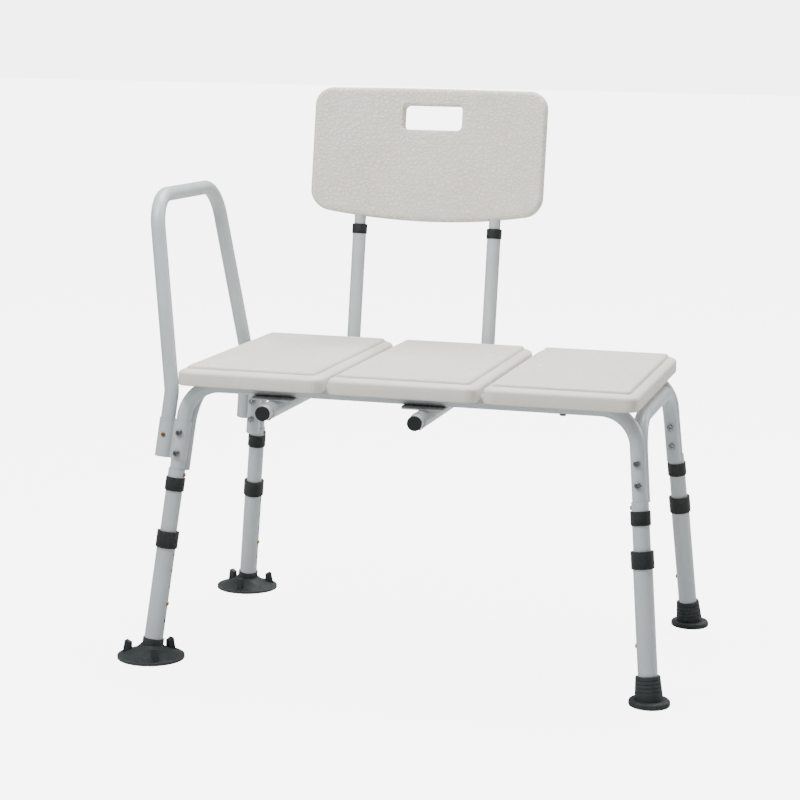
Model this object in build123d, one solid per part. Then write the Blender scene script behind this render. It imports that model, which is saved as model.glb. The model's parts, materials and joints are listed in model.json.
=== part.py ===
"""Bath transfer bench: a splayed tube frame with telescoping legs, three moulded seat panels, a
slide-in backrest and a side arm rail.

Millimetres, +Z up, +Y towards the backrest, the arm rail on the -X side. The origin is on the floor
under the centre of the bench's box. Lengths along a leg are counted down it from the point where the
leg's centre line meets its rail's, or up it from the floor, as their names say.
"""

import os
from math import hypot, radians, sqrt, tan

from build123d import *

# ---- Seat panels
SEAT_WIDTH = 690.0
SEAT_DEPTH = 420.0
SEAT_HEIGHT = 450.5
PANEL_COUNT = 3
PANEL_GAP = 8.0
PANEL_THICKNESS = 33.5
PANEL_CORNER = 18.0
PANEL_WALL = 2.8
SHOULDER_WIDTH = 12.5
SHOULDER_DROP = 12.0
EDGE_ROUND = 3.0
CHANNEL_DEPTH = 9.0
CHANNEL_END = 18.0  # wall left between a rail's channel and the seat's end
BOSS_WALL = 5.0

# ---- Tubes: each size slides in the next
TUBE_D = 22.2
TUBE_WALL = 1.2
TUBE_GAP = 0.4
TUBE_STEP = 2 * (TUBE_WALL + TUBE_GAP)
MIDDLE_D = TUBE_D + TUBE_STEP
LOWER_D = MIDDLE_D + TUBE_STEP
BACK_INNER_D = TUBE_D - TUBE_STEP
SLEEVE_D = TUBE_D + TUBE_STEP
BEND_RADIUS = 56.0
SEATED_GAP = 0.3  # between curved pieces that lie against each other
FIT_GAP = 0.05  # between pieces fixed in or on each other

# ---- Frame
RAIL_END_INSET = 7.5  # leg's centre line inside the seat's end, at the rail
RAIL_FRONT_INSET = 38.5
LEG_SPLAY_SIDE = 5.75
LEG_SPLAY_FRONT = 6.9
SIDE_RAIL_DROP = 17.5
FRAME_BOLT_DOWN = 75.0
FRAME_BOLT_PITCH = 31.0
SIDE_STUB_END = 132.0
FRAME_STUB_END = 212.5

# ---- Telescoping legs
MIDDLE_TUBE_TOP = 129.5
MIDDLE_TUBE_ABOVE_FLOOR = 62.8
UPPER_BUTTON_DOWN = 137.6
UPPER_COLLAR_DOWN = 142.6
UPPER_COLLAR_HEIGHT = 20.5
UPPER_COLLAR_WALL = 2.0
LOWER_COLLAR_BELOW_UPPER = 36.5
LOWER_COLLAR_HEIGHT = 25.5
LOWER_COLLAR_WALL = 2.4
COLLAR_LIP = 3.0
HOLE_PITCH = 25.4
HEIGHT_BUTTON_ABOVE_FLOOR = 85.0
HOLES_BELOW_BUTTON = 1
HOLES_ABOVE_BUTTON = 3
LEFT_TUBE_STEP = 1  # pitches that the left lower tubes end short of the right ones

# ---- Snap clips
BUTTON_D = 6.4
BUTTON_HOLE_GAP = 0.3
BUTTON_PROUD = 1.9
STRIP_THICKNESS = 0.8
STRIP_WIDTH = 6.0
STRIP_LENGTH = 34.0
STRIP_FOLD = 5.0

# ---- Feet
CUP_RADIUS = 51.0
CUP_RIM = 4.0
CUP_NECK_TOP = 30.0
CUP_NECK_WALL = 1.8
CUP_SHOULDER = 21.0
CUP_BELL_RADIUS = 29.0
CUP_BELL_HEIGHT = 11.0
CUP_HOLLOW = 5.0
CUP_FIRST_TAB = {"front": 60, "back": 30}
TAB_COUNT = 3
TAB_OUT = 45.0
TAB_IN = 32.0
TAB_TOP = 24.5
TAB_LEAN = 4.0
TAB_WIDTH = 8.0
TAB_ROUND = 1.2
TIP_BASE_RADIUS = 30.0
TIP_BASE_HEIGHT = 9.0
TIP_TOP = 42.0
TIP_WALL = 3.6
TIP_FLARE = 3.0
TIP_RIB_COUNT = 4
TIP_RIB_PITCH = 5.5
TIP_RIB_GROOVE = 0.8
FOOT_FLOOR = 10.0  # rubber left under the lower tube, along the leg

# ---- Arm rail
BRACKET_SHEET = 1.4
BRACKET_TOP_DOWN = 56.6
BRACKET_BOTTOM_DOWN = 114.8
BRACKET_WEB = 9.0
ARM_END_DOWN = 104.2
ARM_KINK_DOWN = 15.0
ARM_TOP_ABOVE_SEAT = 239.8
ARM_TOP_OUT = 42.6  # the grip's offset beyond the kink, sideways
ARM_TOP_IN = 43.5  # each upright's lean from the kink to the grip, towards the middle
ARM_BUTTON_DOWN = 81.0
BRACKET_GAP = 0.1

# ---- Backrest receivers and back frame
RECEIVER_INSET = 145.0  # left receiver from the seat's left end
BACK_TUBE_SPACING = 229.0
PLATE_WIDTH = 64.0
PLATE_DEPTH = 40.0
PLATE_THICKNESS = 2.0
PAD_THICKNESS = 2.0
WELD_SINK = 0.3
SLEEVE_FRONT = 214.0
SLEEVE_BACK = 180.0
SLIDE_FRONT = 232.0
RECEIVER_BUTTON_FROM_FRONT = 28.0
CAP_THICKNESS = 3.0
CAP_PLUG = 12.0
CORNER_BEHIND_SEAT = 20.5
RECLINE = 8.5
UPRIGHT_ABOVE_SEAT = 174.0
BACK_COLLAR_HEIGHT = 16.0
BACK_COLLAR_WALL = 1.4
BACK_LAP = 120.0  # inner tube inside the upright
BACK_BUTTON_DOWN = 32.0

# ---- Backrest panel
BACK_WIDTH = 390.0
BACK_HEIGHT = 219.0
BACK_ABOVE_UPRIGHT = 12.5
BACK_COVER = 3.5
BACK_THICKNESS = BACK_INNER_D + 2 * BACK_COVER
BACK_CURVE = 700.0
BACK_CORNER = 28.0
BACK_BOTTOM_SAG = 16.0
BACK_TOP_RISE = 5.0
BACK_SOCKET = 105.0
SLOT_WIDTH = 100.0
SLOT_HEIGHT = 38.0
SLOT_CORNER = 8.0
SLOT_BELOW_TOP = 49.5

# ---- Fasteners
BOLT_D = 6.0
BOLT_HEAD_D = 11.0
BOLT_HEAD_HEIGHT = 3.2
NUT_FLATS = 10.0
NUT_HEIGHT = 5.0
SOCKET_SHARE = 0.24  # a socket's corner radius, as a share of the head's diameter
SCREW_D = 5.0
SCREW_HEAD_D = 10.0
SCREW_HEAD_HEIGHT = 2.6
SCREW_BITE = 12.0
RECEIVER_SCREW_OUT = 23.0
BACK_SCREW_D = 4.0
BACK_SCREW_ROWS = (22.0, 75.0)  # above the panel's bottom edge, on each tube
BACK_SCREW_SUNK = 1.5
HOLE_GAP = 0.2

# ---- Worked out from the sizes above
SEAT_BOTTOM = SEAT_HEIGHT - PANEL_THICKNESS
PANEL_WIDTH = (SEAT_WIDTH - (PANEL_COUNT - 1) * PANEL_GAP) / PANEL_COUNT
RAIL_X = SEAT_WIDTH / 2 - RAIL_END_INSET
RAIL_Y = SEAT_DEPTH / 2 - RAIL_FRONT_INSET
RAIL_Z = SEAT_BOTTOM + CHANNEL_DEPTH - SEATED_GAP - TUBE_D / 2
SIDE_TAN = tan(radians(LEG_SPLAY_SIDE))
FRONT_TAN = tan(radians(LEG_SPLAY_FRONT))
LEG_SLANT = hypot(1, SIDE_TAN, FRONT_TAN)
LEG_LENGTH = RAIL_Z * LEG_SLANT
SIDE_TUBE_IN = (TUBE_D + MIDDLE_D) / 2 + SEATED_GAP
ARM_TUBE_OUT = TUBE_D + 2 * BRACKET_SHEET
BUTTON_HOLE = BUTTON_D / 2 + BUTTON_HOLE_GAP
BOLT_HOLE = BOLT_D / 2 + HOLE_GAP
FRAME_BOLTS = (FRAME_BOLT_DOWN, FRAME_BOLT_DOWN + FRAME_BOLT_PITCH)
RAIL_BOTTOM = RAIL_Z - TUBE_D / 2
PLATE_BOTTOM = RAIL_BOTTOM - PAD_THICKNESS - PLATE_THICKNESS
SLEEVE_Z = PLATE_BOTTOM + WELD_SINK - SLEEVE_D / 2
SLEEVE_X = [
    -SEAT_WIDTH / 2 + RECEIVER_INSET,
    -SEAT_WIDTH / 2 + RECEIVER_INSET + BACK_TUBE_SPACING,
]
BACK_CORNER_Y = SEAT_DEPTH / 2 + CORNER_BEHIND_SEAT
PANEL_X = [(i - (PANEL_COUNT - 1) / 2) * (PANEL_WIDTH + PANEL_GAP) for i in range(PANEL_COUNT)]
PANEL_NAMES = ["left", "middle", "right"]
SIDES = {"left": -1, "right": 1}
ENDS = {"front": -1, "back": 1}
CORNERS = [(s, e) for s in SIDES for e in ENDS]
SCREW_SPOTS = [x + d for x in SLEEVE_X for d in (-RECEIVER_SCREW_OUT, RECEIVER_SCREW_OUT)]

nodes = {}


# ---- Shared makers
def rod(radius, bottom, top):
    """A round bar on the Z axis from one height to another."""
    return Pos(0, 0, bottom) * Cylinder(radius, top - bottom, align=(Align.CENTER, Align.CENTER, Align.MIN))


def pipe(outer, inner, bottom, top):
    """A straight pipe on the Z axis."""
    return rod(outer, bottom, top) - rod(inner, bottom, top)


def bent_tube(points, bends, diameter=TUBE_D):
    """A round tube along straight runs joined by bends."""
    path = FilletPolyline(*points, radius=bends)
    ring = Circle(diameter / 2) - Circle(diameter / 2 - TUBE_WALL)
    return sweep(Plane(origin=path @ 0, z_dir=path % 0) * ring, path=path)


def leg_frame(side, end):
    """One leg's own frame: origin where it meets its rail, +Z up the leg, +X towards the middle of
    the seat's depth, +Y square to the side frame."""
    down = Vector(SIDES[side] * SIDE_TAN, ENDS[end] * FRONT_TAN, -1).normalized()
    inward = Vector(0, -ENDS[end], 0)
    inward = (inward - down * inward.dot(down)).normalized()
    corner = Vector(SIDES[side] * RAIL_X, ENDS[end] * RAIL_Y, RAIL_Z)
    return Plane(origin=corner, x_dir=inward, z_dir=-down).location


def inward_turn(side, end):
    """Turns +X, in a leg's frame, to face the other side of the bench."""
    return Rot(0, 0, -90 * SIDES[side] * ENDS[end])


def button_hole(reach):
    """A cutter for a button's hole, from the tube's middle out along +X."""
    return Rot(0, 90, 0) * rod(BUTTON_HOLE, 0, reach)


def snap_clip(tube_d, outer_d):
    """A folded spring strip inside a tube, with its button out along +X through the outer tube. The
    origin is on the tube's centre line, at the button."""
    bore = tube_d / 2 - TUBE_WALL
    leaf = sqrt(bore**2 - (STRIP_WIDTH / 2) ** 2) - SEATED_GAP - STRIP_THICKNESS / 2
    back = leaf - STRIP_FOLD
    line = FilletPolyline(
        (leaf, BUTTON_D),
        (leaf, -STRIP_LENGTH),
        (back, -STRIP_LENGTH),
        (back - STRIP_FOLD / 4, -BUTTON_D),
        radius=STRIP_FOLD * 0.45,
    )
    strip = extrude(Plane.XZ * trace(line, STRIP_THICKNESS), STRIP_WIDTH / 2, both=True)
    button = rod(BUTTON_D / 2, leaf, outer_d / 2 + BUTTON_PROUD)
    button = fillet(button.edges().sort_by(Axis.Z)[-1], BUTTON_D / 5)
    return strip + Rot(0, 90, 0) * button


def collar(bore_d, wall, height, lip_d=None):
    """A ferrule on a tube's end, from z = -height to 0, rounded below. With a lip, its top closes in
    on the smaller tube that slides through it."""
    shell = rod(bore_d / 2 + wall, -height, 0)
    shell = fillet(shell.edges().sort_by(Axis.Z)[0], wall * 0.7)
    if lip_d is None:
        return shell - rod(bore_d / 2 + FIT_GAP, -height, 0)
    return shell - rod(bore_d / 2 + FIT_GAP, -height, -COLLAR_LIP) - rod(lip_d / 2 + TUBE_GAP, -height, 0)


def screw(diameter, head_d, head_height, length):
    """A round-headed socket screw along +Z, its head's flat underside at z = 0."""
    head = rod(head_d / 2, -head_height, 0)
    head = fillet(head.edges().sort_by(Axis.Z)[0], head_height * 0.6)
    socket = extrude(RegularPolygon(head_d * SOCKET_SHARE, 6), head_height * 0.7)
    return head + rod(diameter / 2, 0, length) - Pos(0, 0, -head_height) * socket


# ---- Seat panels
def panel_block(width, depth, thickness, corner, drop):
    """A slab with round corners and a sloping shoulder round its top, its bottom at z = 0."""
    slab = extrude(RectangleRounded(width, depth, corner), thickness)
    top = slab.faces().sort_by(Axis.Z)[-1].edges()
    return chamfer(top, drop, SHOULDER_WIDTH)


def rail_channel(radius):
    """The room for both long rails along the seat, up to a wall at each end."""
    half = SEAT_WIDTH / 2 - CHANNEL_END
    bar = Rot(0, 90, 0) * rod(radius, -half, half)
    return [Pos(0, e * RAIL_Y, RAIL_Z) * bar for e in ENDS.values()]


def panel_screws():
    """Where a screw comes up through each rail: beside the receivers, and in the end panel."""
    return [(x, e * RAIL_Y) for x in SCREW_SPOTS + [PANEL_X[-1]] for e in ENDS.values()]


def seat_panel(x):
    """One hollow moulded panel: closed skin, channels for the rails, a pillar round each screw."""
    shell = panel_block(PANEL_WIDTH, SEAT_DEPTH, PANEL_THICKNESS, PANEL_CORNER, SHOULDER_DROP)
    shell = fillet(shell.faces().sort_by(Axis.Z)[-1].edges(), EDGE_ROUND)
    room = panel_block(
        PANEL_WIDTH - 2 * PANEL_WALL,
        SEAT_DEPTH - 2 * PANEL_WALL,
        PANEL_THICKNESS - 2 * PANEL_WALL,
        PANEL_CORNER - PANEL_WALL,
        SHOULDER_DROP,
    )
    shell = Pos(x, 0, SEAT_BOTTOM) * shell
    room = Pos(x, 0, SEAT_BOTTOM + PANEL_WALL) * room
    screw_top = RAIL_Z + TUBE_D / 2 + SCREW_BITE
    for bar in rail_channel(TUBE_D / 2 + SEATED_GAP + PANEL_WALL):
        room -= bar
    for sx, sy in panel_screws():
        room -= Pos(sx, sy, 0) * rod(SCREW_D / 2 + BOSS_WALL, SEAT_BOTTOM, SEAT_HEIGHT)
    shell -= room
    for bar in rail_channel(TUBE_D / 2 + SEATED_GAP):
        shell -= bar
    for sx, sy in panel_screws():
        shell -= Pos(sx, sy, 0) * rod(SCREW_D / 2 + FIT_GAP, SEAT_BOTTOM, screw_top + HOLE_GAP)
    return shell


for name, x in zip(PANEL_NAMES, PANEL_X):
    nodes[f"seat_panel_{name}"] = seat_panel(x)


# ---- Frame tubes
def leg_point(side, end, down, inward=0.0, outward=0.0):
    """A point in a leg's frame: down the leg, and off its centre line."""
    turn = SIDES[side] * ENDS[end]
    return (leg_frame(side, end) * Pos(inward, turn * outward, -down)).position


def frame_holes(side, end):
    """Cutters for the two frame bolts through one leg, across the leg and the side rail's leg."""
    bolt = Rot(0, 90, 0) * rod(BOLT_HOLE, -TUBE_D, SIDE_TUBE_IN + TUBE_D)
    return [leg_frame(side, end) * Pos(0, 0, -down) * bolt for down in FRAME_BOLTS]


def long_rail(end):
    """The rail along the seat's front or back, bent down into a leg stub at each end."""
    tube = bent_tube(
        [
            leg_point("left", end, FRAME_STUB_END),
            leg_point("left", end, 0),
            leg_point("right", end, 0),
            leg_point("right", end, FRAME_STUB_END),
        ],
        BEND_RADIUS,
    )
    for side in SIDES:
        for hole in frame_holes(side, end):
            tube -= hole
        at = leg_frame(side, end) * Pos(0, 0, -UPPER_BUTTON_DOWN) * inward_turn(side, end)
        tube -= at * button_hole(TUBE_D)
    for x, y in panel_screws():
        if y * ENDS[end] > 0:
            tube -= Pos(x, y, RAIL_Z) * rod(SCREW_D / 2 + HOLE_GAP, -TUBE_D, TUBE_D)
    return tube


def side_rail_point(side, end, z):
    """Where the side rail's leg line, beside a leg, is at height z."""
    low = leg_point(side, end, SIDE_STUB_END, SIDE_TUBE_IN)
    high = leg_point(side, end, 0, SIDE_TUBE_IN)
    return low + (high - low) * ((z - low.Z) / (high.Z - low.Z))


def side_rail(side):
    """The arch across one end of the seat, its legs bolted beside the long rails' stubs."""
    height = RAIL_Z - SIDE_RAIL_DROP
    tube = bent_tube(
        [
            leg_point(side, "front", SIDE_STUB_END, SIDE_TUBE_IN),
            side_rail_point(side, "front", height),
            side_rail_point(side, "back", height),
            leg_point(side, "back", SIDE_STUB_END, SIDE_TUBE_IN),
        ],
        BEND_RADIUS,
    )
    for end in ENDS:
        for hole in frame_holes(side, end):
            tube -= hole
    return tube


for end in ENDS:
    nodes[f"{end}_rail"] = long_rail(end)
for side in SIDES:
    nodes[f"{side}_side_rail"] = side_rail(side)


# ---- Arm rail and its brackets, on the left
def arm_rail():
    """The grab rail: two ends beside the legs, a kink outwards at the seat, and a grip on top."""
    points = []
    for end in ENDS:
        kink = leg_point("left", end, ARM_KINK_DOWN, 0, ARM_TUBE_OUT)
        top = Vector(
            kink.X - ARM_TOP_OUT,
            kink.Y - ENDS[end] * ARM_TOP_IN,
            SEAT_HEIGHT + ARM_TOP_ABOVE_SEAT,
        )
        run = [leg_point("left", end, ARM_END_DOWN, 0, ARM_TUBE_OUT), kink, top]
        points += run if end == "front" else run[::-1]
    tube = bent_tube(points, BEND_RADIUS)
    for end in ENDS:
        tube -= arm_button_place(end) * button_hole(TUBE_D)
    return tube


def arm_button_place(end):
    """On the arm rail's lower end, with +X away from the seat's middle, front or back."""
    turn = SIDES["left"] * ENDS[end]
    at = Pos(0, turn * ARM_TUBE_OUT, -ARM_BUTTON_DOWN)
    return leg_frame("left", end) * at * Rot(0, 0, 180)


def arm_bracket(end):
    """A sheet wrapped in a figure of eight round a leg and the arm rail's end."""
    turn = SIDES["left"] * ENDS[end]
    hole = TUBE_D / 2 + BRACKET_GAP
    beside = Pos(0, turn * ARM_TUBE_OUT)
    loop = Circle(TUBE_D / 2 + BRACKET_SHEET)
    section = loop + beside * loop
    section += Pos(0, turn * ARM_TUBE_OUT / 2) * Rectangle(BRACKET_WEB, ARM_TUBE_OUT - TUBE_D)
    section -= Circle(hole) + beside * Circle(hole)
    wrap = extrude(Pos(0, 0, -BRACKET_BOTTOM_DOWN) * section, BRACKET_BOTTOM_DOWN - BRACKET_TOP_DOWN)
    wrap = leg_frame("left", end) * wrap
    for cut in frame_holes("left", end):
        wrap -= cut
    return wrap - arm_button_place(end) * button_hole(TUBE_D)


nodes["arm_rail"] = arm_rail()
for end in ENDS:
    nodes[f"left_{end}_arm_bracket"] = arm_bracket(end)
    in_arm = arm_button_place(end) * Rot(180, 0, 0)
    nodes[f"{end}_arm_clip"] = in_arm * snap_clip(TUBE_D, TUBE_D + 2 * BRACKET_SHEET)


# ---- Frame bolts and nuts
def bolt_head_at(side):
    """How far out from the leg's centre line the bolt's head sits: on the bracket, or the tube."""
    return TUBE_D / 2 + (BRACKET_SHEET if side == "left" else 0) + FIT_GAP


def frame_bolt(side):
    """A bolt along +X through both tubes, seen from its leg's centre line."""
    head = bolt_head_at(side)
    length = head + SIDE_TUBE_IN + TUBE_D / 2 + NUT_HEIGHT
    return Pos(-head, 0, 0) * Rot(0, 90, 0) * screw(BOLT_D, BOLT_HEAD_D, BOLT_HEAD_HEIGHT, length)


def frame_nut():
    """A domed nut on the bolt's end, against the side rail's leg."""
    base = SIDE_TUBE_IN + TUBE_D / 2 + FIT_GAP
    flats = extrude(RegularPolygon(NUT_FLATS / 2, 6, major_radius=False), NUT_HEIGHT)
    dome = Pos(0, 0, NUT_HEIGHT) * Sphere(NUT_FLATS * 0.42)
    nut = flats + dome - rod(BOLT_D / 2 + FIT_GAP, 0, NUT_HEIGHT)
    return Pos(base, 0, 0) * Rot(0, 90, 0) * nut


bolt_places = [(s, leg_frame(s, e) * Pos(0, 0, -down)) for s, e in CORNERS for down in FRAME_BOLTS]
nodes["frame_bolts"] = Compound([place * frame_bolt(s) for s, place in bolt_places])
nodes["frame_nuts"] = Compound([place * frame_nut() for _, place in bolt_places])


# ---- Legs
def middle_tube(side, end):
    """The tube on a frame stub, its bottom inside the lower tube, with a hole for each button."""
    tube = pipe(
        MIDDLE_D / 2, MIDDLE_D / 2 - TUBE_WALL, -LEG_LENGTH + MIDDLE_TUBE_ABOVE_FLOOR, -MIDDLE_TUBE_TOP
    )
    for z in (-UPPER_BUTTON_DOWN, -LEG_LENGTH + HEIGHT_BUTTON_ABOVE_FLOOR):
        tube -= Pos(0, 0, z) * inward_turn(side, end) * button_hole(MIDDLE_D)
    return tube


def lower_tube_top(side):
    """How far down the leg the lower tube's collar begins."""
    step = HOLE_PITCH * LEFT_TUBE_STEP if side == "left" else 0
    return UPPER_COLLAR_DOWN + UPPER_COLLAR_HEIGHT + LOWER_COLLAR_BELOW_UPPER + step


def lower_tube(side, end):
    """The outermost tube of a leg, with its row of height holes."""
    top = -lower_tube_top(side) - COLLAR_LIP
    tube = pipe(LOWER_D / 2, LOWER_D / 2 - TUBE_WALL, -LEG_LENGTH + FOOT_FLOOR, top)
    for i in range(-HOLES_BELOW_BUTTON, HOLES_ABOVE_BUTTON + 1):
        z = -LEG_LENGTH + HEIGHT_BUTTON_ABOVE_FLOOR + i * HOLE_PITCH
        tube -= Pos(0, 0, z) * inward_turn(side, end) * button_hole(LOWER_D)
    return tube


def suction_cup(tilt, first_tab):
    """A wide bell: a thin rim on the floor, a neck on the leg, and three release tabs."""
    neck = LOWER_D / 2 + CUP_NECK_WALL
    shoulder = (neck, CUP_SHOULDER)
    rim_top = (CUP_RADIUS, CUP_RIM)
    outline = Polyline(shoulder, (0, CUP_SHOULDER), (0, 0), (CUP_RADIUS, 0), rim_top)
    outline += ThreePointArc(rim_top, (CUP_BELL_RADIUS, CUP_BELL_HEIGHT), shoulder)
    bell = revolve(Plane.XZ * make_face(outline), Axis.Z)
    rim = CUP_RADIUS - CUP_RIM
    hollow = Polyline((0, 0), (rim, 0), (rim * 0.6, CUP_HOLLOW * 0.7), (0, CUP_HOLLOW), close=True)
    bell -= revolve(Plane.XZ * make_face(hollow), Axis.Z)
    fin = Polyline(
        (TAB_OUT, CUP_RIM),
        (TAB_OUT - TAB_LEAN, TAB_TOP),
        (TAB_IN, TAB_TOP - TAB_LEAN),
        (TAB_IN, CUP_RIM),
        close=True,
    )
    tab = extrude(Plane.XZ * make_face(fin), TAB_WIDTH / 2, both=True)
    tab = fillet(tab.edges().filter_by(Axis.Y).sort_by(Axis.Z)[2:], TAB_ROUND)
    for i in range(TAB_COUNT):
        bell += Rot(0, 0, first_tab + i * 360 / TAB_COUNT) * tab
    body = bell + tilt * rod(neck, FOOT_FLOOR, CUP_NECK_TOP)
    return body - tilt * rod(LOWER_D / 2 + FIT_GAP, FOOT_FLOOR, CUP_NECK_TOP + LOWER_D)


def rubber_tip(tilt):
    """A flared tip: a round base on the floor and a ribbed, tapering body up the leg."""
    top = LOWER_D / 2 + TIP_WALL
    base = rod(TIP_BASE_RADIUS, 0, TIP_BASE_HEIGHT)
    base = fillet(base.edges().sort_by(Axis.Z)[-1], TIP_BASE_HEIGHT * 0.45)
    base = fillet(base.edges().sort_by(Axis.Z)[0], TIP_BASE_HEIGHT * 0.2)
    height = TIP_TOP - FOOT_FLOOR / 2
    cone = Cone(top + TIP_FLARE, top, height, align=(Align.CENTER, Align.CENTER, Align.MIN))
    body = Pos(0, 0, FOOT_FLOOR / 2) * cone
    body = fillet(body.edges().sort_by(Axis.Z)[-1], TIP_WALL * 0.4)
    for i in range(TIP_RIB_COUNT):
        z = TIP_TOP - TIP_RIB_PITCH * (i + 1)
        radius = top + TIP_FLARE * (TIP_TOP - z) / height
        body -= pipe(radius + TIP_WALL, radius - TIP_RIB_GROOVE, z, z + TIP_RIB_GROOVE)
    body = base + tilt * body
    return body - tilt * rod(LOWER_D / 2 + FIT_GAP, FOOT_FLOOR, TIP_TOP + LOWER_D)


for side, end in CORNERS:
    leg = leg_frame(side, end)
    turn = inward_turn(side, end)
    name = f"{side}_{end}"
    nodes[f"{name}_middle_tube"] = leg * middle_tube(side, end)
    nodes[f"{name}_middle_collar"] = leg * Pos(0, 0, -UPPER_COLLAR_DOWN) * collar(
        MIDDLE_D, UPPER_COLLAR_WALL, UPPER_COLLAR_HEIGHT
    )
    nodes[f"{name}_lower_tube"] = leg * lower_tube(side, end)
    nodes[f"{name}_lower_collar"] = leg * Pos(0, 0, -lower_tube_top(side)) * collar(
        LOWER_D, LOWER_COLLAR_WALL, LOWER_COLLAR_HEIGHT, MIDDLE_D
    )
    foot = leg * Pos(0, 0, -LEG_LENGTH)
    under = Location(foot.position)
    tilt = under.inverse() * foot
    shape = suction_cup(tilt, CUP_FIRST_TAB[end]) if side == "left" else rubber_tip(tilt)
    nodes[f"{name}_foot"] = under * shape
    nodes[f"{name}_upper_clip"] = leg * Pos(0, 0, -UPPER_BUTTON_DOWN) * turn * snap_clip(TUBE_D, MIDDLE_D)
    at_button = Pos(0, 0, -LEG_LENGTH + HEIGHT_BUTTON_ABOVE_FLOOR) * turn * Rot(180, 0, 0)
    nodes[f"{name}_height_clip"] = leg * at_button * snap_clip(MIDDLE_D, LOWER_D)


# ---- Receivers under the seat
def receiver(x):
    """A sleeve from front to back with a plate welded on it under each long rail."""
    body = Rot(-90, 0, 0) * rod(SLEEVE_D / 2, -SLEEVE_FRONT, SLEEVE_BACK)
    for e in ENDS.values():
        plate = extrude(RectangleRounded(PLATE_WIDTH, PLATE_DEPTH, 5), PLATE_THICKNESS)
        body += Pos(0, e * RAIL_Y, PLATE_BOTTOM - SLEEVE_Z) * plate
    body -= Rot(-90, 0, 0) * rod(SLEEVE_D / 2 - TUBE_WALL, -SLEEVE_FRONT, SLEEVE_BACK)
    for e in ENDS.values():
        for d in (-RECEIVER_SCREW_OUT, RECEIVER_SCREW_OUT):
            body -= Pos(d, e * RAIL_Y, 0) * rod(SCREW_D / 2 + HOLE_GAP, 0, SLEEVE_D)
    body -= Pos(0, -SLIDE_FRONT + RECEIVER_BUTTON_FROM_FRONT, 0) * Rot(0, 90, 0) * button_hole(SLEEVE_D)
    return Pos(x, 0, SLEEVE_Z) * body


def pad(x, y):
    """A soft strip between a receiver's plate and the rail above it."""
    strip = extrude(RectangleRounded(PLATE_WIDTH, PLATE_DEPTH, 5), PAD_THICKNESS)
    for d in (-RECEIVER_SCREW_OUT, RECEIVER_SCREW_OUT):
        strip -= Pos(d, 0, 0) * rod(SCREW_D / 2 + HOLE_GAP, 0, PAD_THICKNESS)
    return Pos(x, y, RAIL_BOTTOM - PAD_THICKNESS) * strip


for name, x in zip(SIDES, SLEEVE_X):
    nodes[f"{name}_receiver"] = receiver(x)
nodes["receiver_pads"] = Compound([pad(x, e * RAIL_Y) for x in SLEEVE_X for e in ENDS.values()])

rail_top = RAIL_Z + TUBE_D / 2
seat_screws = []
for x, y in panel_screws():
    under = PLATE_BOTTOM if x in SCREW_SPOTS else RAIL_BOTTOM
    under -= FIT_GAP
    one = screw(SCREW_D, SCREW_HEAD_D, SCREW_HEAD_HEIGHT, rail_top + SCREW_BITE - under)
    seat_screws.append(Pos(x, y, under) * one)
nodes["seat_screws"] = Compound(seat_screws)


# ---- Back frame: two L-tubes with their caps, collars and clips
def upright_frame(x):
    """Frame on an upright: origin at the level of the seat's top, +Z up the recline, +X across."""
    rise = SEAT_HEIGHT - SLEEVE_Z
    y = BACK_CORNER_Y + rise * tan(radians(RECLINE))
    return Pos(x, y, SEAT_HEIGHT) * Rot(-RECLINE, 0, 0)


def l_tube(x):
    """A tube that slides in its receiver and turns up behind the seat."""
    tube = bent_tube(
        [
            (x, -SLIDE_FRONT, SLEEVE_Z),
            (x, BACK_CORNER_Y, SLEEVE_Z),
            (upright_frame(x) * Pos(0, 0, UPRIGHT_ABOVE_SEAT)).position,
        ],
        BEND_RADIUS,
    )
    tube -= receiver_button_place(x) * button_hole(TUBE_D)
    return tube - back_button_place(x) * button_hole(TUBE_D)


def receiver_button_place(x):
    """On an L-tube's centre line near its front end, with +X down and +Z back."""
    return Pos(x, -SLIDE_FRONT + RECEIVER_BUTTON_FROM_FRONT, SLEEVE_Z) * Rot(-90, 0, 0) * Rot(0, 0, 90)


def back_button_place(x):
    """On an upright's centre line below its top, with +X to the back."""
    return upright_frame(x) * Pos(0, 0, UPRIGHT_ABOVE_SEAT - BACK_BUTTON_DOWN) * Rot(0, 0, 90)


def end_cap():
    """A plug in an L-tube's front end, its flat disc facing forward along -Z."""
    disc = rod(TUBE_D / 2, -CAP_THICKNESS, 0)
    disc = fillet(disc.edges().sort_by(Axis.Z)[0], CAP_THICKNESS * 0.4)
    return disc + rod(TUBE_D / 2 - TUBE_WALL - FIT_GAP, 0, CAP_PLUG)


def inner_tube(x):
    """A tube from inside the upright up into the backrest's socket."""
    tube = pipe(
        BACK_INNER_D / 2,
        BACK_INNER_D / 2 - TUBE_WALL,
        UPRIGHT_ABOVE_SEAT - BACK_LAP,
        UPRIGHT_ABOVE_SEAT + BACK_ABOVE_UPRIGHT + BACK_SOCKET - 1,
    )
    tube = upright_frame(x) * tube - back_button_place(x) * button_hole(TUBE_D)
    for place in back_screw_places(x):
        tube -= place * rod(BACK_SCREW_D / 2 + HOLE_GAP, 0, BACK_THICKNESS)
    return tube


def back_screw_places(x):
    """On the backrest's back face, level with a tube, with +Z forward into the panel."""
    up = UPRIGHT_ABOVE_SEAT + BACK_ABOVE_UPRIGHT
    behind = BACK_THICKNESS / 2 - BACK_SCREW_SUNK
    return [upright_frame(x) * Pos(0, behind, up + row) * Rot(90, 0, 0) for row in BACK_SCREW_ROWS]


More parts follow.
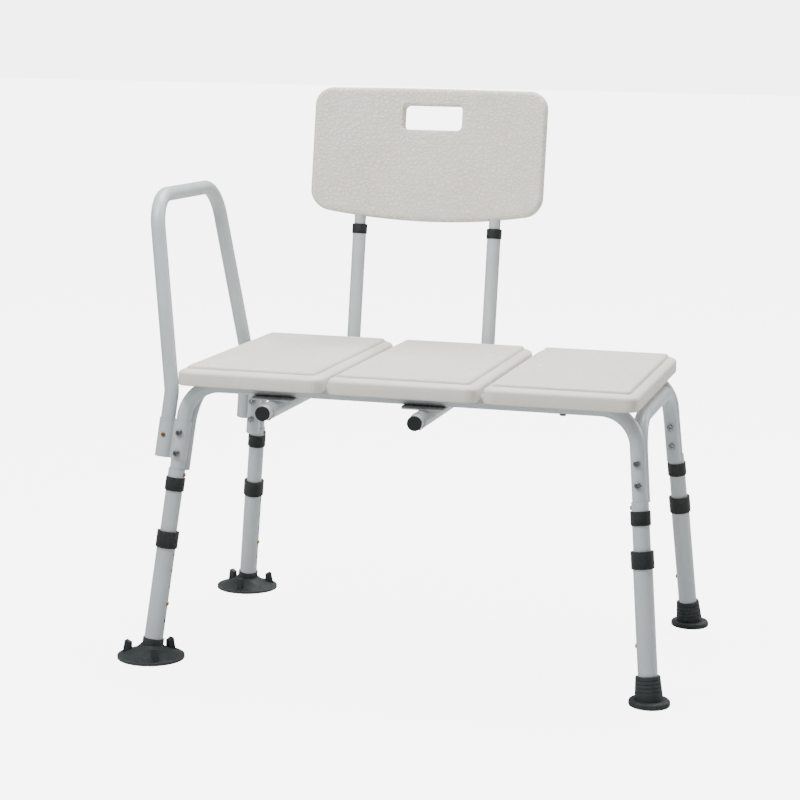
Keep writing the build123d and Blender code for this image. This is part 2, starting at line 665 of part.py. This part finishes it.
for name, x in zip(SIDES, SLEEVE_X):
    nodes[f"{name}_l_tube"] = l_tube(x)
    nodes[f"{name}_end_cap"] = Pos(x, -SLIDE_FRONT, SLEEVE_Z) * Rot(-90, 0, 0) * end_cap()
    in_sleeve = receiver_button_place(x) * Rot(180, 0, 0)
    nodes[f"{name}_receiver_clip"] = in_sleeve * snap_clip(TUBE_D, SLEEVE_D)
    ferrule = collar(TUBE_D, BACK_COLLAR_WALL, BACK_COLLAR_HEIGHT, BACK_INNER_D)
    on_top = upright_frame(x) * Pos(0, 0, UPRIGHT_ABOVE_SEAT + COLLAR_LIP)
    nodes[f"{name}_upright_collar"] = on_top * ferrule
    nodes[f"{name}_backrest_tube"] = inner_tube(x)
    nodes[f"{name}_backrest_clip"] = back_button_place(x) * snap_clip(BACK_INNER_D, TUBE_D)


# ---- Backrest panel
def back_frame_location():
    """Backrest's frame: origin midway between the tubes at the panel's bottom edge."""
    middle = sum(SLEEVE_X) / 2
    return upright_frame(middle) * Pos(0, 0, UPRIGHT_ABOVE_SEAT + BACK_ABOVE_UPRIGHT)


def back_outline(inset):
    """The panel's front outline: level sides, a bowed bottom, a slightly arched top."""
    half = BACK_WIDTH / 2 - inset
    low = inset + BACK_BOTTOM_SAG
    high = BACK_HEIGHT - inset - BACK_TOP_RISE
    edge = [
        ThreePointArc((-half, low), (0, inset), (half, low)),
        Line((half, low), (half, high)),
        ThreePointArc((half, high), (0, BACK_HEIGHT - inset), (-half, high)),
        Line((-half, high), (-half, low)),
    ]
    face = make_face(Wire(edge))
    return fillet(face.vertices(), BACK_CORNER - inset)


def curved_slab(outline, thickness):
    """An outline seen from the front, cut from a plate curved about an upright axis in front."""
    offset = BACK_CURVE - sqrt(BACK_CURVE**2 - (BACK_TUBE_SPACING / 2) ** 2)
    prism = extrude(Plane.XZ * outline, BACK_CURVE / 4, both=True)
    plate = pipe(BACK_CURVE + thickness / 2, BACK_CURVE - thickness / 2, -BACK_HEIGHT, 2 * BACK_HEIGHT)
    return prism & Pos(0, offset - BACK_CURVE, 0) * plate


def slot_outline(grow):
    """The handle slot's outline, grown all round."""
    shape = RectangleRounded(SLOT_WIDTH + 2 * grow, SLOT_HEIGHT + 2 * grow, SLOT_CORNER + grow)
    return Pos(0, BACK_HEIGHT - SLOT_BELOW_TOP) * shape


def backrest():
    """The hollow moulded backrest, with its handle slot and two tube sockets."""
    place = back_frame_location()
    body = curved_slab(back_outline(0), BACK_THICKNESS)
    room = curved_slab(back_outline(PANEL_WALL), BACK_THICKNESS - 2 * PANEL_WALL)
    room -= extrude(Plane.XZ * slot_outline(PANEL_WALL), BACK_CURVE / 4, both=True)
    body -= extrude(Plane.XZ * slot_outline(0), BACK_CURVE / 4, both=True)
    for side in SIDES.values():
        at = Pos(side * BACK_TUBE_SPACING / 2, 0, 0)
        room -= at * rod(BACK_INNER_D / 2 + FIT_GAP + PANEL_WALL, -BACK_HEIGHT, BACK_SOCKET + PANEL_WALL)
    body -= room
    for side in SIDES.values():
        at = Pos(side * BACK_TUBE_SPACING / 2, 0, 0)
        body -= at * rod(BACK_INNER_D / 2 + FIT_GAP, -BACK_HEIGHT, BACK_SOCKET)
    body = place * body
    for x in SLEEVE_X:
        for at in back_screw_places(x):
            body -= at * rod(BACK_SCREW_D / 2 + FIT_GAP, 0, BACK_THICKNESS / 2)
            body -= at * rod(BACK_SCREW_D + HOLE_GAP, -BACK_THICKNESS, 0)
    return body


nodes["backrest_panel"] = backrest()
back_screw = screw(BACK_SCREW_D, BACK_SCREW_D * 2, BACK_SCREW_D / 2, BACK_THICKNESS / 2)
nodes["backrest_screws"] = Compound([at * back_screw for x in SLEEVE_X for at in back_screw_places(x)])


# ---- The whole bench over its origin, and one file for each piece
box = Compound(list(nodes.values())).bounding_box()
home = Pos(-box.center().X, -box.center().Y, -box.min.Z)
os.makedirs("parts", exist_ok=True)
for name, shape in nodes.items():
    nodes[name] = home * shape
    export_step(nodes[name], f"parts/{name}.step")
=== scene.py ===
"""Looks for the bath transfer bench: moulded seat and backrest, painted tubes, rubber feet.

Metres, in the bench's own frame: +Z up, +Y towards the backrest, the arm rail on the -X side.
"""

import json
from math import cos, exp, radians, sin, sqrt

import bmesh
import bpy
from mathutils import Matrix, Vector


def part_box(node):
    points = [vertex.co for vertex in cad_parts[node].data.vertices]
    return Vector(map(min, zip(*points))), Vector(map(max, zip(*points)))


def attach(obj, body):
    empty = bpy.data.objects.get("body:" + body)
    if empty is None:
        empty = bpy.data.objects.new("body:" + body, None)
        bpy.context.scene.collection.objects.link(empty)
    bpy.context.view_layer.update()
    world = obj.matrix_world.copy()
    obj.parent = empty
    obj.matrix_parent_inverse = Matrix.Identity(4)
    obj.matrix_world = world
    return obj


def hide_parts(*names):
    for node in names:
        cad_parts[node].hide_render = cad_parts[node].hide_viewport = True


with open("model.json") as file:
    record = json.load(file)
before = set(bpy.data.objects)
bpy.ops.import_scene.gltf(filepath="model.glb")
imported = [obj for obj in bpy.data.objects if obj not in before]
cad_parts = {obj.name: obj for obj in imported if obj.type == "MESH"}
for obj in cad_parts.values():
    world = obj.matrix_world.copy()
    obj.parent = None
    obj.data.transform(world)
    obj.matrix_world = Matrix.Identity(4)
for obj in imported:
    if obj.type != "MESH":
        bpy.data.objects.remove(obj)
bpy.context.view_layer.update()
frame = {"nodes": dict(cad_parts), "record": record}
MM = 0.001

# ---- Camera
CAMERA_TURN = 14.93
CAMERA_TILT = 9.59
CAMERA_ROLL = 1.0
CAMERA_DISTANCE = 3.2783
CAMERA_LENS = 95.39
CAMERA_AIM = Vector((-0.0549, 0, 0.3793))  # from the point on the floor under the seat's middle
CAMERA_REACH = 100

# ---- Floor and lights
FLOOR_HALF = 40
FLOOR_GLOW = 20
FLOOR_GLOW_SHARE = 0.3
ROOM_LIGHT = 0.42
ROOM_SEEN = 6.5
SEAT_POINT = (0, 0, 0.45)
BACKREST_POINT = (-0.05, 0.25, 0.76)
# Where each soft light stands, what it is turned to, its side and its watts
SOFTBOXES = {
    "key": ((-2.2, -2.4, 2.6), SEAT_POINT, 1.6, 28),
    "back": ((-0.5, -1.0, 1.9), BACKREST_POINT, 0.5, 30),
    "top": ((0.3, 0.9, 3.4), SEAT_POINT, 2.2, 200),
    "rim": ((2.4, 2.2, 1.6), SEAT_POINT, 1.4, 30),
}

# ---- Moulded panels
PANEL_CORNER = 18 * MM
PANEL_SIDE = 16.6 * MM
PANEL_BOTTOM_ROUND = 2 * MM
PANEL_BOTTOM_SEGMENTS = 3
# Each step goes in by the first number and up by the second, in millimetres
PANEL_EDGE = (
    (0.5, 2.0), (1.2, 1.7), (1.8, 1.3), (2.4, 1.2), (3.0, 1.1), (2.6, 0.9),
    (0.5, -1.4), (0.9, 0.0), (0.4, 2.1), (0.8, 1.9), (1.3, 1.3), (1.9, 0.6),
)
PANEL_CUT = 2.4 * MM
DRAIN_PITCH = 80 * MM
DRAIN_COLUMN = 68 * MM
DRAIN_RADIUS = 5.2 * MM
DRAIN_DEPTH = 2.6 * MM

# ---- Backrest
BACK_CURVE = 700 * MM
BACK_CORNER = 28 * MM
BACK_SAG = 16 * MM
BACK_RISE = 5 * MM
BACK_HEIGHT = 219 * MM
BACK_THICKNESS = 26 * MM
BACK_ROUND = 7 * MM
RECLINE = radians(8.5)
SLOT_WIDTH = 100 * MM
SLOT_HEIGHT = 38 * MM
SLOT_CORNER = 8 * MM
SLOT_BELOW_TOP = 49.5 * MM
SLOT_ROUND = 3.5 * MM
BACK_SEGMENTS = 5
BACK_CUT_ACROSS = 6 * MM
BACK_CUT_UP = 12 * MM
RIM_ANGLE = radians(60)

# ---- Meshes in general
CORNER_SEGMENTS = 9
SHARP = radians(38)
LEVEL = 1e-6  # heights closer than this are the same
CUT_MERGE = 1e-7


# ---- Shader maths
class Socket:
    """A shader value that takes part in Python expressions."""

    def __init__(self, shader, link):
        self.shader = shader
        self.link = link

    def maths(self, operation, *others):
        return self.shader.node("ShaderNodeMath", {"operation": operation}, self, *others)

    def __add__(self, other):
        return self.maths("ADD", other)

    __radd__ = __add__

    def __mul__(self, other):
        return self.maths("MULTIPLY", other)

    __rmul__ = __mul__

    def __sub__(self, other):
        return self.maths("SUBTRACT", other)

    def __rsub__(self, other):
        return self.shader.node("ShaderNodeMath", {"operation": "SUBTRACT"}, other, self)

    def clamp(self):
        return self.shader.node("ShaderNodeMath", {"operation": "ADD", "use_clamp": True}, self, 0)


class Shader:
    """One material, its Principled shader, and short ways to add nodes to it."""

    def __init__(self, name, color, roughness, **constants):
        self.material = bpy.data.materials.new(name)
        self.material.use_nodes = True
        self.tree = self.material.node_tree
        self.surface = self.tree.nodes["Principled BSDF"]
        self.surface.inputs["Base Color"].default_value = (*color, 1)
        self.surface.inputs["Roughness"].default_value = roughness
        for key, value in constants.items():
            self.surface.inputs[key.replace("_", " ")].default_value = value
        self.place = self.node("ShaderNodeTexCoord", {}, output="Object")

    def node(self, kind, settings, *values, output=0, **named):
        """Adds a node, sets it up, feeds its sockets, and gives back one output."""
        new = self.tree.nodes.new(kind)
        for key, value in settings.items():
            setattr(new, key, value)
        feeds = list(enumerate(values)) + [(key.replace("_", " "), value) for key, value in named.items()]
        for key, value in feeds:
            if isinstance(value, Socket):
                self.tree.links.new(value.link, new.inputs[key])
            else:
                new.inputs[key].default_value = value
        return Socket(self, new.outputs[output])

    def noise(self, scale, detail=2.0):
        return self.node("ShaderNodeTexNoise", {}, Vector=self.place, Scale=scale, Detail=detail)

    def cells(self, scale, feature):
        return self.node(
            "ShaderNodeTexVoronoi", {"feature": feature}, Vector=self.place, Scale=scale, output="Distance"
        )

    def ramp(self, value, *stops):
        """A colour ramp from (position, colour) stops."""
        new = self.tree.nodes.new("ShaderNodeValToRGB")
        for index, (position, color) in enumerate(stops):
            stop = new.color_ramp.elements[index] if index < 2 else new.color_ramp.elements.new(position)
            stop.position = position
            stop.color = (*color, 1)
        self.tree.links.new(value.link, new.inputs[0])
        return Socket(self, new.outputs[0])

    def range(self, value, low, high, out_low, out_high):
        return self.node("ShaderNodeMapRange", {"clamp": True}, value, low, high, out_low, out_high)

    def feed(self, **sockets):
        for key, value in sockets.items():
            self.tree.links.new(value.link, self.surface.inputs[key.replace("_", " ")])

    def bump(self, height, strength, distance):
        normal = self.node("ShaderNodeBump", {}, Strength=strength, Distance=distance, Height=height)
        self.feed(Normal=normal)


def edge_wear(shader, low, high):
    """How sharply the surface turns outwards, from 0 on flats to 1 on its raised edges."""
    point = shader.node("ShaderNodeNewGeometry", {}, output="Pointiness")
    return shader.range(point, low, high, 0, 1)


def painted_hollow_shade(shader, low, high):
    """How sharply the surface turns inwards, from 0 on flats to 1 down in grooves and dimples: the mask
    for painted shade there.
    """
    point = shader.node("ShaderNodeNewGeometry", {}, output="Pointiness")
    return shader.range(point, low, high, 1, 0)


def moulded_plastic():
    """Warm white blow-moulded plastic: fine pebble grain, faint mottling, painted shade in the grooves and
    dimples.
    """
    shader = Shader("moulded_plastic", (0.80, 0.77, 0.70), 0.5, Subsurface_Weight=0.06,
                    Subsurface_Scale=0.004, Specular_IOR_Level=0.4)
    patch = shader.noise(9, 4)
    fine = shader.noise(160, 3)
    # Random mottling, darkened by painted shade down in the grooves and dimples
    tone = (patch * 0.7 + fine * 0.3 - painted_hollow_shade(shader, 0.43, 0.495) * 0.5).clamp()
    # The darkest stop is the painted shade colour that the grooves and dimples reach
    shader.feed(Base_Color=shader.ramp(
        tone, (0.0, (0.36, 0.34, 0.30)), (0.3, (0.70, 0.665, 0.60)), (0.72, (0.77, 0.745, 0.685))
    ))
    shader.feed(Roughness=shader.range(shader.noise(60, 3), 0.3, 0.7, 0.44, 0.6))
    pebble = shader.cells(420, "SMOOTH_F1")
    shader.bump(pebble * 0.7 + shader.noise(900, 2) * 0.3, 0.28, 0.0006)
    return shader.material


def leathery_plastic():
    """The same plastic with the coarser leather grain that the backrest's front has."""
    shader = Shader("leathery_plastic", (0.80, 0.77, 0.70), 0.48, Subsurface_Weight=0.06,
                    Subsurface_Scale=0.004, Specular_IOR_Level=0.4)
    crease = shader.cells(130, "DISTANCE_TO_EDGE")
    pebble = shader.range(crease, 0.0, 0.25, 0.0, 1.0)
    tone = (shader.noise(9, 4) * 0.6 + shader.noise(60, 4) * 0.2 + pebble * 0.2).clamp()
    shader.feed(Base_Color=shader.ramp(
        tone, (0.2, (0.62, 0.585, 0.52)), (0.45, (0.745, 0.71, 0.64)), (0.75, (0.82, 0.79, 0.725))
    ))
    shader.feed(Roughness=shader.range(pebble, 0.0, 1.0, 0.6, 0.4))
    shader.bump(pebble * 0.5 + shader.noise(110, 4) * 0.5, 0.9, 0.0016)
    return shader.material


def powder_coat(name, color, darker):
    """Cool-white powder coat on tube: slight orange peel and faint drift in tone."""
    shader = Shader(name, color, 0.38, Coat_Weight=0.25, Coat_Roughness=0.22)
    tone = shader.noise(14, 3)
    shader.feed(Base_Color=shader.ramp(tone, (0.32, darker), (0.68, color)))
    shader.feed(Roughness=shader.range(shader.noise(45, 4), 0.3, 0.7, 0.32, 0.48))
    shader.bump(shader.noise(650, 2), 0.12, 0.0003)
    return shader.material


def satin_plastic():
    """Charcoal moulded plastic with fine scuffs on its raised edges."""
    shader = Shader("charcoal_plastic", (0.012, 0.014, 0.014), 0.45, Specular_IOR_Level=0.3)
    scuff = edge_wear(shader, 0.52, 0.62) * shader.noise(220, 4)
    shader.feed(Base_Color=shader.ramp(
        scuff.clamp(), (0.1, (0.011, 0.013, 0.013)), (0.7, (0.03, 0.034, 0.035))
    ))
    shader.feed(Roughness=shader.range(shader.noise(120, 3), 0.3, 0.7, 0.38, 0.56))
    shader.bump(shader.noise(700, 3), 0.25, 0.0003)
    return shader.material


def rubber(name, color, bloomed):
    """Matt rubber: dull bloom in patches and a fine grain."""
    shader = Shader(name, color, 0.6, Specular_IOR_Level=0.3)
    bloom = (shader.noise(26, 4) * 0.8 + edge_wear(shader, 0.5, 0.62) * 0.4).clamp()
    shader.feed(Base_Color=shader.ramp(bloom, (0.3, color), (0.75, bloomed)))
    shader.feed(Roughness=shader.range(shader.noise(90, 3), 0.3, 0.7, 0.5, 0.72))
    shader.bump(shader.noise(800, 3), 0.3, 0.0003)
    return shader.material


def metal(name, color, darker, roughness):
    """Plated metal with faint wear."""
    shader = Shader(name, color, roughness, Metallic=1.0)
    tone = shader.noise(350, 3)
    shader.feed(Base_Color=shader.ramp(tone, (0.3, darker), (0.7, color)))
    shader.feed(Roughness=shader.range(shader.noise(500, 2), 0.3, 0.7, roughness * 0.8, roughness * 1.3))
    return shader.material


PLASTIC = moulded_plastic()
LEATHERY = leathery_plastic()
PAINT = powder_coat("powder_coat", (0.50, 0.54, 0.56), (0.45, 0.49, 0.51))
RUBBER = rubber("foot_rubber", (0.017, 0.021, 0.022), (0.04, 0.047, 0.049))
PAD = rubber("pad_rubber", (0.11, 0.115, 0.12), (0.17, 0.175, 0.18))
CHARCOAL = satin_plastic()
STEEL = metal("plated_steel", (0.30, 0.31, 0.32), (0.20, 0.21, 0.22), 0.24)
BRASS = metal("yellow_zinc", (0.36, 0.20, 0.05), (0.22, 0.12, 0.03), 0.3)


# ---- Moulded pieces
def smooth(mesh):
    """Smooth shading with the real edges kept sharp."""
    mesh.polygons.foreach_set("use_smooth", [True] * len(mesh.polygons))
    mesh.set_sharp_from_angle(angle=SHARP)


def finish_piece(bm, name, node, body, material):
    """Turns a bmesh into a named piece with smooth shading that stands for a CAD node."""
    bmesh.ops.recalc_face_normals(bm, faces=bm.faces)
    mesh = bpy.data.meshes.new(name)
    bm.to_mesh(mesh)
    bm.free()
    smooth(mesh)
    mesh.materials.append(material)
    piece = bpy.data.objects.new(name, mesh)
    bpy.context.scene.collection.objects.link(piece)
    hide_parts(node)
    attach(piece, body)


def rounded_face(bm, width, depth, corner):
    """A flat rounded rectangle on z = 0."""
    bmesh.ops.create_grid(bm, x_segments=1, y_segments=1, size=0.5)
    bmesh.ops.scale(bm, vec=(width, depth, 1), verts=bm.verts)
    bmesh.ops.bevel(
        bm, geom=bm.verts[:], offset=corner, segments=CORNER_SEGMENTS, affect="VERTICES",
        profile=0.5, material=-1
    )
    return bm.faces[:]


def slice_along(bm, axis, length, step):
    """Cuts a mesh that is centred on the origin by even planes square to an axis."""
    count = int(length / step)
    for i in range(1, count):
        at = Vector((0, 0, 0))
        at[axis] = -length / 2 + length * i / count
        normal = Vector((0, 0, 0))
        normal[axis] = 1
        bmesh.ops.bisect_plane(
            bm, geom=bm.verts[:] + bm.edges[:] + bm.faces[:], plane_co=at, plane_no=normal, dist=CUT_MERGE
        )


def drain_spots():
    """Where a panel's shallow drain dimples are: four down its middle, three down each side."""
    spots = [(0, (i - 1.5) * DRAIN_PITCH) for i in range(4)]
    spots += [(side * DRAIN_COLUMN, (i - 1) * DRAIN_PITCH) for side in (-1, 1) for i in range(3)]
    return spots


def seat_panel(name):
    """A moulded seat panel: rounded plan, stepped shoulder with a groove, dimpled top."""
    low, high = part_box(name)
    middle = (low + high) / 2
    width, depth, _ = high - low
    bm = bmesh.new()
    top = rounded_face(bm, width, depth, PANEL_CORNER)
    raised = bmesh.ops.extrude_face_region(bm, geom=top)
    top = [item for item in raised["geom"] if isinstance(item, bmesh.types.BMFace)]
    bmesh.ops.translate(bm, vec=(0, 0, PANEL_SIDE), verts=top[0].verts)
    for inset, rise in PANEL_EDGE:
        bmesh.ops.inset_region(bm, faces=top, thickness=inset * MM, depth=rise * MM, use_even_offset=True)
    underside = [edge for edge in bm.edges if all(abs(v.co.z) < LEVEL for v in edge.verts)]
    bmesh.ops.bevel(
        bm, geom=underside, offset=PANEL_BOTTOM_ROUND, segments=PANEL_BOTTOM_SEGMENTS, affect="EDGES",
        profile=0.5, material=-1
    )
    slice_along(bm, 0, width, PANEL_CUT)
    slice_along(bm, 1, depth, PANEL_CUT)
    crown = max(v.co.z for v in bm.verts)
    spots = drain_spots()
    for vert in bm.verts:
        if vert.co.z > crown - LEVEL:
            for x, y in spots:
                away = (vert.co.x - x) ** 2 + (vert.co.y - y) ** 2
                vert.co.z -= DRAIN_DEPTH * exp(-(away / DRAIN_RADIUS ** 2) ** 2)
    bmesh.ops.translate(bm, vec=(middle.x, middle.y, low.z), verts=bm.verts)
    finish_piece(bm, name.replace("seat_panel", "moulded_seat"), name, "frame", PLASTIC)


def backrest():
    """The moulded backrest: bowed outline, soft edges, handle slot, curved round the back."""
    (left_low, _), (right_low, right_high) = (
        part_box(f"{side}_backrest_tube") for side in ("left", "right")
    )
    half_span = (right_low.x - left_low.x) / 2
    low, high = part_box("backrest_panel")
    width = high.x - low.x
    tall = BACK_HEIGHT - BACK_SAG - BACK_RISE
    bm = bmesh.new()
    rounded_face(bm, width, tall, BACK_CORNER)
    bmesh.ops.delete(bm, geom=bm.faces[:], context="FACES_ONLY")
    slot = bmesh.new()
    rounded_face(slot, SLOT_WIDTH, SLOT_HEIGHT, SLOT_CORNER)
    drop = BACK_SAG + tall / 2 - (BACK_HEIGHT - SLOT_BELOW_TOP)
    bmesh.ops.translate(slot, vec=(0, -drop, 0), verts=slot.verts)
    bmesh.ops.delete(slot, geom=slot.faces[:], context="FACES_ONLY")
    loop = bpy.data.meshes.new("slot_loop")
    slot.to_mesh(loop)
    slot.free()
    bm.from_mesh(loop)
    bpy.data.meshes.remove(loop)
    bmesh.ops.bridge_loops(bm, edges=bm.edges[:])
    thick = bmesh.ops.extrude_face_region(bm, geom=bm.faces[:])
    lifted = [item for item in thick["geom"] if isinstance(item, bmesh.types.BMVert)]
    bmesh.ops.translate(bm, vec=(0, 0, BACK_THICKNESS), verts=lifted)
    bmesh.ops.recalc_face_normals(bm, faces=bm.faces)
    for around_slot, radius in ((False, BACK_ROUND), (True, SLOT_ROUND)):
        rims = [edge for edge in bm.edges if edge.calc_face_angle(0) > RIM_ANGLE]
        rims = [edge for edge in rims if all(in_slot(v.co, drop) for v in edge.verts) == around_slot]
        bmesh.ops.bevel(
            bm, geom=rims, offset=radius, segments=BACK_SEGMENTS, affect="EDGES", profile=0.5, material=-1
        )
    slice_along(bm, 0, width, BACK_CUT_ACROSS)
    slice_along(bm, 1, tall, BACK_CUT_UP)
    offset = BACK_CURVE - sqrt(BACK_CURVE ** 2 - half_span ** 2)
    for vert in bm.verts:
        x, up, deep = vert.co
        share = 1 - (x / (width / 2)) ** 2
        level = up / tall + 0.5
        up += share * (BACK_RISE * level ** 3 - BACK_SAG * (1 - level) ** 2)
        deep -= BACK_THICKNESS / 2
        bent = offset - BACK_CURVE + sqrt((BACK_CURVE + deep) ** 2 - x ** 2)
        vert.co = Vector((x, bent, up + tall / 2 + BACK_SAG))
    bmesh.ops.transform(bm, matrix=Matrix.Rotation(-RECLINE, 4, "X"), verts=bm.verts)
    bottom = min(v.co.z for v in bm.verts)
    back = max(v.co.y for v in bm.verts)
    centre = (left_low.x + right_high.x) / 2
    bmesh.ops.translate(bm, vec=(centre, high.y - back, low.z - bottom), verts=bm.verts)
    finish_piece(bm, "moulded_backrest", "backrest_panel", "backrest", LEATHERY)


def in_slot(point, drop):
    """Whether a point of the flat backrest is on the handle slot's edge."""
    return abs(point.x) < SLOT_WIDTH / 2 + MM and abs(point.y + drop) < SLOT_HEIGHT / 2 + MM


for panel in ("left", "middle", "right"):
    seat_panel(f"seat_panel_{panel}")
backrest()

# ---- Finishes of the CAD pieces
FINISHES = {
    "frame_paint": PAINT,
    "inner_tube_paint": PAINT,
    "charcoal_plastic": CHARCOAL,
    "foot_rubber": RUBBER,
    "pad_rubber": PAD,
    "zinc_steel": STEEL,
    "button_brass": BRASS,
    "moulded_panel": PLASTIC,
}
for part in frame["record"]["subparts"]:
    mesh = frame["nodes"][part["node"]].data
    mesh.materials.clear()
    mesh.materials.append(FINISHES[part["material_slot"]])
    smooth(mesh)


# ---- Floor, light and camera
def mixed(tree, end, share, first, second):
    """Leads a mix of two shader nodes to a tree's output node."""
    both = tree.nodes.new("ShaderNodeMixShader")
    for socket, value in enumerate((share, first.outputs[0], second.outputs[0])):
        tree.links.new(value, both.inputs[socket])
    tree.links.new(both.outputs[0], tree.nodes[end].inputs[0])


def backdrop():
    """A plain pale floor that reaches far behind the bench."""
    bm = bmesh.new()
    bmesh.ops.create_grid(bm, x_segments=1, y_segments=1, size=FLOOR_HALF)
    mesh = bpy.data.meshes.new("floor")
    bm.to_mesh(mesh)
    bm.free()
    floor = bpy.data.objects.new("floor", mesh)
    bpy.context.scene.collection.objects.link(floor)
    shader = Shader("floor_paint", (0.6, 0.6, 0.6), 0.9)
    shader.feed(Roughness=shader.range(shader.noise(2), 0.3, 0.7, 0.85, 0.95))
    glow = shader.tree.nodes.new("ShaderNodeEmission")
    glow.inputs["Strength"].default_value = FLOOR_GLOW
    seen = shader.node("ShaderNodeLightPath", {}, output="Is Camera Ray")
    mixed(shader.tree, "Material Output", (seen * FLOOR_GLOW_SHARE).link, shader.surface, glow)
    floor.data.materials.append(shader.material)


def room():
    """A white room that lights the bench softly and looks brighter than it shines."""
    world = bpy.data.worlds.new("room")
    world.use_nodes = True
    tree = world.node_tree
    shining = tree.nodes["Background"]
    shining.inputs["Color"].default_value = (1, 1, 1, 1)
    shining.inputs["Strength"].default_value = ROOM_LIGHT
    looking = tree.nodes.new("ShaderNodeBackground")
    looking.inputs["Strength"].default_value = ROOM_SEEN
    seen = tree.nodes.new("ShaderNodeLightPath")
    mixed(tree, "World Output", seen.outputs["Is Camera Ray"], shining, looking)
    bpy.context.scene.world = world


def softbox(name, place, aim, size, power):
    """A square soft light turned towards a point."""
    data = bpy.data.lights.new(name, "AREA")
    data.size = size
    data.energy = power
    light = bpy.data.objects.new(name, data)
    light.location = place
    light.rotation_euler = (Vector(aim) - Vector(place)).to_track_quat("-Z", "Y").to_euler()
    bpy.context.scene.collection.objects.link(light)


def camera(floor_middle):
    """The camera: turned about the bench, tilted down and slightly rolled."""
    turn, tilt, roll = (radians(a) for a in (CAMERA_TURN, CAMERA_TILT, CAMERA_ROLL))
    back = Vector((sin(turn) * cos(tilt), -cos(turn) * cos(tilt), sin(tilt)))
    right = Vector((cos(turn), sin(turn), 0))
    up = back.cross(right)
    rolled_right = cos(roll) * right + sin(roll) * up
    rolled_up = cos(roll) * up - sin(roll) * right
    data = bpy.data.cameras.new("camera")
    data.lens = CAMERA_LENS
    data.clip_end = CAMERA_REACH
    view = bpy.data.objects.new("camera", data)
    place = floor_middle + CAMERA_AIM + back * CAMERA_DISTANCE
    view.matrix_world = Matrix((rolled_right, rolled_up, back)).transposed().to_4x4()
    view.location = place
    bpy.context.scene.collection.objects.link(view)
    bpy.context.scene.camera = view


backdrop()
seat_low, seat_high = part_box("seat_panel_middle")
under_seat = Vector(((seat_low.x + seat_high.x) / 2, (seat_low.y + seat_high.y) / 2, 0))
for name, setting in SOFTBOXES.items():
    softbox(name, *setting)
room()
camera(under_seat)
